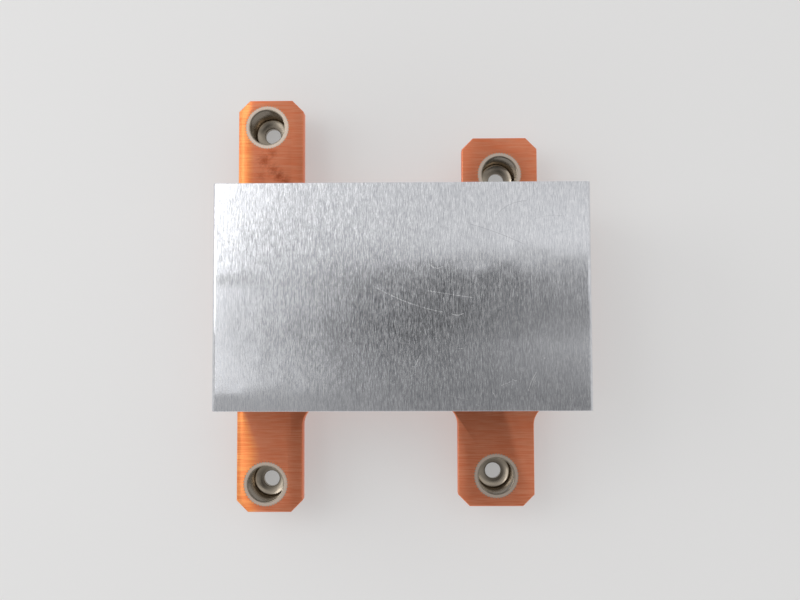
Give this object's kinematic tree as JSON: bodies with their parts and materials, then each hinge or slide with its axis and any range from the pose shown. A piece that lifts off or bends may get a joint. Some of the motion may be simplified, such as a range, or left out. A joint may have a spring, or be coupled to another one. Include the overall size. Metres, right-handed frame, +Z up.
{
  "type": "passive server cpu heatsink",
  "caption": "Low heatsink for a server's processor: a copper plate with mounting ears and pressed-in cups, under a stack of folded fins closed by a sheet cover.",
  "frame": {"origin": "centre of the outline, level with the undersides of the cups", "axes": "+Z up from the board, +Y to the rear along the left pair of holes, +X away from the flush left ears"},
  "size_m": [0.0822, 0.1024, 0.038],
  "materials": {
    "copper": "bare copper, ground lengthwise, lightly tarnished",
    "cover_aluminium": "bare aluminium sheet, brushed front to rear, lightly scratched",
    "fin_aluminium": "bare rolled aluminium sheet",
    "cup_steel": "turned steel, nickel plated"
  },
  "bodies": {
    "root": {"copper_plate": "copper", "cup_front_left": "cup_steel", "cup_front_right": "cup_steel", "cup_rear_left": "cup_steel", "cup_rear_right": "cup_steel", "fin_01": "fin_aluminium", "fin_02": "fin_aluminium", "fin_03": "fin_aluminium", "fin_04": "fin_aluminium", "fin_05": "fin_aluminium", "fin_06": "fin_aluminium", "fin_07": "fin_aluminium", "fin_08": "fin_aluminium", "fin_09": "fin_aluminium", "fin_10": "fin_aluminium", "fin_11": "fin_aluminium", "fin_12": "fin_aluminium", "fin_13": "fin_aluminium", "fin_14": "fin_aluminium", "fin_15": "fin_aluminium", "fin_16": "fin_aluminium", "fin_17": "fin_aluminium", "fin_18": "fin_aluminium", "fin_19": "fin_aluminium", "fin_20": "fin_aluminium", "fin_21": "fin_aluminium", "fin_22": "fin_aluminium", "fin_23": "fin_aluminium", "fin_24": "fin_aluminium", "fin_25": "fin_aluminium", "fin_26": "fin_aluminium", "fin_27": "fin_aluminium", "fin_28": "fin_aluminium", "fin_29": "fin_aluminium", "fin_30": "fin_aluminium", "fin_31": "fin_aluminium", "fin_32": "fin_aluminium", "fin_33": "fin_aluminium", "fin_34": "fin_aluminium", "fin_35": "fin_aluminium", "fin_36": "fin_aluminium", "fin_37": "fin_aluminium", "fin_38": "fin_aluminium", "top_cover": "cover_aluminium"}
  },
  "joints": []
}
